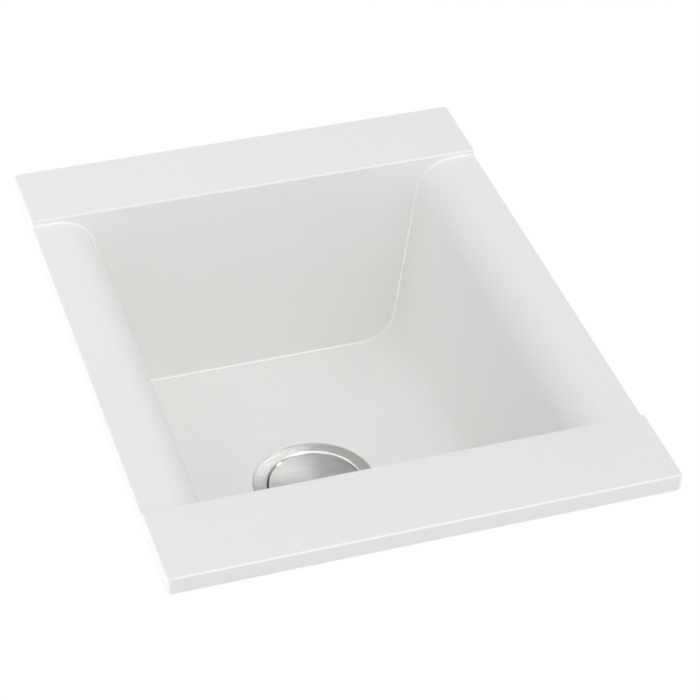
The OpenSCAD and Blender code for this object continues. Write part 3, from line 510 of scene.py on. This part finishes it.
def brushedRound(name, look, brush, centre):
    # metal turned or brushed in circles: noise over radius, angle and height that is fine across the
    # rings and slow along them, in colour, roughness and height, with handling marks
    material, tree, shader = newMaterial(name)
    place, radius, height, way = roundAxis(tree, centre)
    angle = addNode(tree, "ShaderNodeSeparateXYZ", {"Vector": place})
    angle = maths(tree, "ARCTAN2", angle.outputs[1], angle.outputs[0])
    rings = addNode(tree, "ShaderNodeCombineXYZ", {
        "X": maths(tree, "MULTIPLY", radius, 1 / look["brush"]),
        "Y": maths(tree, "MULTIPLY", angle, brush["around"]),
        "Z": maths(tree, "MULTIPLY", height, 1 / look["brush"])}).outputs[0]
    lines = noise(tree, rings, 1, brush["detail"])
    marks = noise(tree, place, brush["mark"], brush["markDetail"])
    colour = blend(tree, span(tree, lines, *brush["contrast"]), look["dark"], look["pale"])
    rough = maths(tree, "ADD", span(tree, lines, *brush["contrast"], *look["rough"]),
                  span(tree, marks, *brush["markTone"]))
    for inside, outside in look.get("bright", ()):
        # a polished band between two radii, smoother and painted paler as a highlight
        middle, half = (inside + outside) / 2 * mm, (outside - inside) / 2 * mm
        band = addNode(tree, "ShaderNodeMath", {0: radius, 1: middle, 2: half}, operation="COMPARE")
        band = band.outputs[0]
        colour = blend(tree, band, colour, look["polishedBandHighlight"])
        rough = maths(tree, "SUBTRACT", rough, maths(tree, "MULTIPLY", band, brush["polishedSmoother"]))
    tree.links.new(colour, shader.inputs["Base Color"])
    tree.links.new(rough, shader.inputs["Roughness"])
    tree.links.new(way, shader.inputs["Tangent"])
    shader.inputs["Metallic"].default_value = 1
    shader.inputs["Anisotropic"].default_value = look["stretch"]
    shader.inputs["Anisotropic Rotation"].default_value = brush["turn"]
    bump(tree, shader, lines, brush["relief"])
    return material


def platedMetal(name, look):
    # zinc plate: soft spangle and fine streaks, duller where they are dark
    material, tree, shader = newMaterial(name)
    place = objectPlace(tree)
    spangle = addNode(tree, "ShaderNodeTexVoronoi", {
        "Vector": place, "Scale": 1 / look["spangle"]}, feature="SMOOTH_F1")
    tone = addNode(tree, "ShaderNodeSeparateColor", {"Color": spangle.outputs["Color"]}).outputs[0]
    streak = noise(tree, objectPlace(tree, scale=look["streakScale"]), look["brush"], look["detail"])
    mixed = sumOf(tree, tone, look["spangleShare"], streak, look["streakShare"])
    colour = blend(tree, span(tree, mixed, *look["contrast"]), look["dark"], look["pale"])
    tree.links.new(colour, shader.inputs["Base Color"])
    rough = span(tree, mixed, *look["glossContrast"], *look["rough"][::-1])
    tree.links.new(rough, shader.inputs["Roughness"])
    shader.inputs["Metallic"].default_value = 1
    bump(tree, shader, streak, look["relief"])
    return material


# plastics and rubbers, with the size of their grain and its relief in metres
mouldedLook = {
    "greyPlastic": {
        "main": srgb(150, 152, 154), "other": srgb(138, 140, 142),
        "rough": (0.38, 0.5), "grain": 0.0006, "relief": 0.00002},
    "whitePlastic": {
        "main": srgb(228, 228, 225), "other": srgb(214, 214, 210),
        "rough": (0.35, 0.48), "grain": 0.0008, "relief": 0.00001},
    "blackRubber": {
        "main": srgb(38, 38, 39), "other": srgb(52, 52, 53),
        "rough": (0.6, 0.78), "grain": 0.0005, "relief": 0.00002},
    "blackFoam": {
        "main": srgb(44, 44, 45), "other": srgb(24, 24, 25),
        "rough": (0.85, 0.95), "grain": 0.0007, "relief": 0.00012},
}

# what all of them share
flowLook = {
    "grainDetail": 2.0, "grainRough": 0.6, "cloud": 0.015,
    "grainShare": 0.5, "cloudShare": 0.5, "contrast": (0.35, 0.65), "glossContrast": (0.3, 0.7),
}


def moulded(name, look, flow):
    # moulded plastic or rubber: spark-eroded grain, flow clouds and a slightly uneven gloss
    material, tree, shader = newMaterial(name)
    place = objectPlace(tree)
    grain = noise(tree, place, look["grain"], flow["grainDetail"], flow["grainRough"])
    cloud = noise(tree, place, flow["cloud"])
    mixed = sumOf(tree, grain, flow["grainShare"], cloud, flow["cloudShare"])
    colour = blend(tree, span(tree, mixed, *flow["contrast"]), look["main"], look["other"])
    tree.links.new(colour, shader.inputs["Base Color"])
    rough = span(tree, cloud, *flow["glossContrast"], *look["rough"])
    tree.links.new(rough, shader.inputs["Roughness"])
    bump(tree, shader, grain, look["relief"])
    return material


steel = brushedRound("brushedSteel", metalLook["steel"], brushLook, wasteAxis)
coverSteel = brushedRound("coverSteel", metalLook["cover"], brushLook, wasteAxis)
turnedBrass = brushedRound("turnedBrass", metalLook["brass"], brushLook, wasteAxis)
zinc = platedMetal("zincPlate", metalLook["zinc"])
plastics = {name: moulded(name, look, flowLook) for name, look in mouldedLook.items()}
finishes = {
    "rim_seal": plastics["blackFoam"], "clamp_anchors": plastics["whitePlastic"],
    "waste_flange": steel, "flange_seal": plastics["blackRubber"], "under_seal": plastics["blackRubber"],
    "waste_body": plastics["greyPlastic"], "waste_insert": turnedBrass, "waste_bolt": turnedBrass,
    "strainer_basket": steel, "basket_post": steel, "stopper_seal": plastics["blackRubber"],
    "post_nut": zinc, "cover_cap": coverSteel, "cap_carrier": plastics["greyPlastic"],
}
finishes.update({
    name: zinc for name in nodes if name.startswith("clamp_") and name != "clamp_anchors"})
for name, material in finishes.items():
    for slot in nodes[name].material_slots:
        slot.material = material
print("finishes given to", len(finishes), "nodes")


# domed cover with a rolled edge
coverShape = {
    "rise": 3.5, "sheet": 1.2, "edgeRound": 0.9,
    "steps": 160, "domeSteps": 24, "shoulderSteps": 6, "hemSteps": 8,
}


def coverProfile(s, low, high):
    # outer dome as part of a sphere, z = top - sphere + root of (sphere squared - radius squared),
    # a small round, a straight skirt down to the rolled hem, and back along the inside
    radius, top = high[0], high[2]
    sphere = (radius ** 2 + s["rise"] ** 2) / (2 * s["rise"])
    e = s["edgeRound"]
    out = np.linspace(0, radius - e, s["domeSteps"])
    outer = np.stack([out, top - sphere + np.sqrt(sphere ** 2 - out ** 2)], -1)
    slope = 90 - math.degrees(math.asin(out[-1] / sphere))
    shoulder = arcPoints((radius - e, outer[-1, 1] - e), e, slope, 0, s["shoulderSteps"])
    shoulder[:, 0] += radius - shoulder[:, 0].max()
    t, foot = s["sheet"], low[2]
    hem = arcPoints((radius - t / 2, foot + t / 2), t / 2, 0, -180, s["hemSteps"])
    back = np.linspace(radius - t, 0, s["domeSteps"])
    inner = np.stack([back, top - sphere + np.sqrt((sphere - t) ** 2 - back ** 2)], -1)
    return np.concatenate([outer, shoulder[1:], hem, inner])


low, high = [np.array(c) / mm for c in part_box("cover_cap")]
profile = coverProfile(coverShape, low, high)
makePiece("coverCap", [turned(profile, coverShape["steps"], (0, sinkShape["wasteY"]))],
          "cover", coverSteel, ["cover_cap"])


# the wave of a thread is drawn out by the share flat at both ends and cut off there,
# which leaves crest and root flat
threadForm = {"rowsPerTurn": 8, "flat": 0.125}


def threadGrid(centre, zLow, zHigh, crest, depth, pitch, around, runOut):
    # radius = crest - depth * (1 - triangle wave of height / pitch - turn), which fades out over
    # runOut at both ends, so that they close on a plain circle
    rows = int((zHigh - zLow) / pitch * threadForm["rowsPerTurn"]) + 1
    z = np.linspace(zLow, zHigh, rows)[:, None]
    angle = np.linspace(0, tau, around, endpoint=False)[None, :]
    wave = np.abs(((z / pitch - angle / tau) % 1) * 2 - 1)
    fade = np.clip(np.minimum(z - zLow, zHigh - z) / runOut, 0, 1)
    flat = threadForm["flat"]
    wave = np.clip(wave * (1 + 2 * flat) - flat, 0, 1)
    r = crest - depth * (1 - wave * fade)
    return gridPart(np.stack(np.broadcast_arrays(
        centre[0] + r * np.cos(angle), centre[1] + r * np.sin(angle), z), -1), wrap=True)


# the thread of the waste body's outlet, for which the plain cylinder of the CAD's node makes way
outletShape = {
    "length": 20, "radius": 23.9, "depth": 1.35, "pitch": 2.309, "around": 96, "runOut": 1.2,
    "margin": 0.05, "plane": 0.01,       # how near a face must be to the cylinder or to its ends
    "shoulder": 24,                      # bounds the ring that is filled above the thread
}


def threadedOutlet(s):
    low, high = [np.array(c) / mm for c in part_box("waste_body")]
    centre, foot, top = (low + high)[:2] / 2, low[2], low[2] + s["length"]

    def keep(corners, middle, normal):
        far = np.hypot(corners[..., 0] - centre[0], corners[..., 1] - centre[1]) > s["radius"] - s["margin"]
        side = far.all(1) & (middle[:, 2] < top)
        ends = far.any(1) & (np.abs(corners[..., 2] - foot) < s["plane"]).all(1)
        step = far.any(1) & (np.abs(corners[..., 2] - top) < s["plane"]).all(1)
        return ~(side | ends | step)

    grid = threadGrid(centre, foot, top, s["radius"], s["depth"], s["pitch"], s["around"], s["runOut"])
    fills = [
        lambda v: abs(v.z - foot) < onPlane,
        lambda v: abs(v.z - top) < onPlane and (v.xy - Vector(centre)).length < s["shoulder"]]
    makePiece("wasteBody", [grid, cadPart("waste_body", keep)], "sink",
              plastics["greyPlastic"], ["waste_body"], fills)


threadedOutlet(outletShape)


# the clamps' screws, threaded from under the head to the tip
screwShape = {
    "radius": 2.4, "depth": 0.42, "pitch": 0.8, "around": 20, "runOut": 0.8,
    "headHeight": 3.4, "plane": 0.01, "count": 6,
}


def threadedScrew(index, s):
    node = f"clamp_screw_{index}"
    low, high = [np.array(c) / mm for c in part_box(node)]
    centre, neck, tip = (low + high)[:2] / 2, low[2] + s["headHeight"], high[2]

    def keep(corners, middle, normal):
        return (corners[..., 2] < neck - s["plane"]).any(1) & (middle[:, 2] < neck)

    grid = threadGrid(centre, neck, tip, s["radius"], s["depth"], s["pitch"], s["around"], s["runOut"])
    fills = [lambda v: abs(v.z - neck) < onPlane, lambda v: abs(v.z - tip) < onPlane]
    makePiece(f"clampScrew{index}", [grid, cadPart(node, keep)], f"screw_{index}",
              zinc, [node], fills)


for index in range(1, screwShape["count"] + 1):
    threadedScrew(index, screwShape)


# camera at the photograph's height, side and distance
cameraView = {
    "focal": 2484.55, "frame": 700,          # in pixels of the photograph
    "sensor": 36, "clipEnd": 50,
    "place": (-0.51498, -1.60015, 1.29833),
    "right": (0.951976, -0.305622, 0.018358),
    "down": (-0.175170, -0.592847, -0.786033),
    "forward": (0.251113, 0.745069, -0.617912),
}
camera = bpy.data.objects.new("camera", bpy.data.cameras.new("camera"))
bpy.context.scene.collection.objects.link(camera)
camera.data.sensor_width = cameraView["sensor"]
camera.data.lens = cameraView["focal"] * camera.data.sensor_width / cameraView["frame"]
turnTo = Matrix([cameraView["right"], [-v for v in cameraView["down"]], [-v for v in cameraView["forward"]]])
camera.matrix_world = Matrix.Translation(cameraView["place"]) @ turnTo.transposed().to_4x4()
camera.data.clip_end = cameraView["clipEnd"]
bpy.context.scene.camera = camera
print("camera placed")


# the worktop is the floor, with the cut-out that the bowl hangs in, and is clear from below
floorLook = {
    "size": 6.0, "cutX": 0.198, "cutY": 0.268,
    "plain": 0.8,                  # its grey for light that bounces off it
    "shade": 0.14, "lit": 0.8,     # its grey for the eye and how far that is lit; a glow makes up white
}


def seenByEye(tree):
    # 1 for rays from the camera, from gloss and through glass
    path = addNode(tree, "ShaderNodeLightPath")
    total = maths(tree, "ADD", path.outputs["Is Camera Ray"], path.outputs["Is Glossy Ray"])
    total = addNode(tree, "ShaderNodeMath", {0: total, 1: path.outputs["Is Transmission Ray"]},
                    operation="ADD", use_clamp=True)
    return total.outputs[0]


def greyOf(value):
    return (value, value, value, 1)


def stageFloor(look):
    # four quads between the cut-out's corners and those of a large square at height 0
    far, cut = look["size"] / 2, np.array([look["cutX"], look["cutY"]])
    corner = np.array([[-1, -1], [1, -1], [1, 1], [-1, 1]])
    ringPoints = np.concatenate([corner * cut, corner * far])
    points = np.concatenate([ringPoints, np.zeros((len(ringPoints), 1))], 1)
    quads = [[i, i + 4, (i + 1) % 4 + 4, (i + 1) % 4] for i in range(4)]
    mesh = bpy.data.meshes.new("worktop")
    mesh.from_pydata(points.tolist(), [], quads)
    material = bpy.data.materials.new("whiteWorktop")
    material.use_nodes = True
    tree = material.node_tree
    tree.nodes.clear()
    plain = addNode(tree, "ShaderNodeBsdfDiffuse", {"Color": greyOf(look["plain"])}).outputs[0]
    shade = addNode(tree, "ShaderNodeBsdfDiffuse", {"Color": greyOf(look["shade"])}).outputs[0]
    glow = addNode(tree, "ShaderNodeEmission", {"Strength": 1 - look["shade"] * look["lit"]}).outputs[0]
    seen = addNode(tree, "ShaderNodeAddShader", {0: shade, 1: glow}).outputs[0]
    both = addNode(tree, "ShaderNodeMixShader", {0: seenByEye(tree), 1: plain, 2: seen}).outputs[0]
    clear = addNode(tree, "ShaderNodeBsdfTransparent").outputs[0]
    backface = addNode(tree, "ShaderNodeNewGeometry").outputs["Backfacing"]
    surface = addNode(tree, "ShaderNodeMixShader", {0: backface, 1: both, 2: clear}).outputs[0]
    addNode(tree, "ShaderNodeOutputMaterial", {"Surface": surface})
    mesh.materials.append(material)
    worktop = bpy.data.objects.new("worktop", mesh)
    bpy.context.scene.collection.objects.link(worktop)
    worktop.visible_shadow = False      # the bowl below it is lit as if it stood free
    print("worktop placed")


stageFloor(floorLook)


# soft studio light: from is the direction that a sun shines from, or the place of a panel with a size
lightLook = {
    "sky": 0.47,
    # a wide one over the front, one on the right, a near panel that makes the left side paler,
    # and one from below the left that lights the rim's side
    "front": {"energy": 0.84, "angle": 110, "from": (0, -0.76, 0.65)},
    "right": {"energy": 0.46, "angle": 110, "from": (0.6, 0, 0.8)},
    "left": {"energy": 3.9, "size": 1.2, "from": (-1.2, 0.45, 1.25)},
    "low": {"energy": 1.1, "angle": 20, "from": (-0.97, 0, -0.24)},
    # seen in gloss alone: the sheen of the metal, the fine lines along the rounds and along the joints
    "back": {"energy": 0.25, "angle": 15, "from": (0.1156, 0.841, 0.529), "shadow": False, "glossOnly": True},
    "edge": {"energy": 1.8, "angle": 16, "from": (0.237, -0.62, 0.748), "glossOnly": True},
    "seamRight": {
        "energy": 1.3, "angle": 10, "from": (-0.56, -0.648, -0.533), "shadow": False, "glossOnly": True},
    "seamLeft": {
        "energy": 1.3, "angle": 10, "from": (0.788, -0.253, -0.569), "shadow": False, "glossOnly": True},
}


def softLight(look):
    world = bpy.data.worlds.new("studio")
    bpy.context.scene.world = world
    world.use_nodes = True
    tree = world.node_tree
    strength = span(tree, seenByEye(tree), 0, 1, look["sky"], 1.0)
    tree.links.new(strength, tree.nodes["Background"].inputs["Strength"])
    tree.nodes["Background"].inputs["Color"].default_value = greyOf(1)
    for name, each in look.items():
        if name == "sky":
            continue
        lamp = bpy.data.lights.new(name + "Lamp", "AREA" if "size" in each else "SUN")
        lamp.energy = each["energy"]
        lamp.use_shadow = each.get("shadow", True)
        lamp.cycles.use_multiple_importance_sampling = lamp.use_shadow
        lampObject = bpy.data.objects.new(name + "Lamp", lamp)
        if "size" in each:
            lamp.size = each["size"]
            lampObject.location = each["from"]
        else:
            lamp.angle = math.radians(each["angle"])
        lampObject.visible_diffuse = not each.get("glossOnly", False)
        lampObject.rotation_mode = "QUATERNION"
        lampObject.rotation_quaternion = Vector(each["from"]).to_track_quat("Z", "Y")
        bpy.context.scene.collection.objects.link(lampObject)
    print("lamps placed:", len(look) - 1)


softLight(lightLook)
bpy.context.scene.view_settings.view_transform = "Standard"
